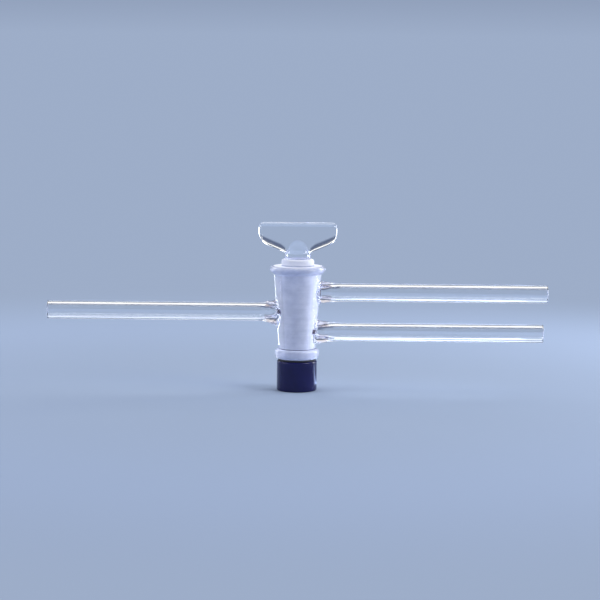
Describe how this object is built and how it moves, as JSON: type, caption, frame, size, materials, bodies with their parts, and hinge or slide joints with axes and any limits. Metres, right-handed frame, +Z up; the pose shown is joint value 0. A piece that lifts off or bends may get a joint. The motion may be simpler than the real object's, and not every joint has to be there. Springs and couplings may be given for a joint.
{
  "type": "three-way glass stopcock",
  "caption": "Glass stopcock with a tapered barrel, a straight inlet arm, a pair of parallel outlet arms and a turning glass plug with a flat handle.",
  "frame": {"origin": "on the plug's axis, in the plane of the cap's flat base on which the stopcock stands", "axes": "+Z up along the plug's axis towards the handle, +X along the two outlet arms, the inlet arm lies along -X"},
  "size_m": [0.2186, 0.0242, 0.0738],
  "materials": {
    "barrel_glass": "clear blown glass, finely ground on the plug's seat",
    "plug_glass": "clear pressed glass, finely ground on the cone",
    "black_rubber": "matt",
    "dark_cap_plastic": "glossy, very dark violet blue"
  },
  "bodies": {
    "barrel": {"barrel": "barrel_glass"},
    "plug": {"plug": "plug_glass", "rubber_washer": "black_rubber", "retaining_cap": "dark_cap_plastic"}
  },
  "joints": [
    {"name": "plug_turn", "type": "hinge", "parent": "barrel", "child": "plug", "pos_m": [0, 0, 0.03455], "axis": [0, 0, 1], "continuous": true}
  ]
}
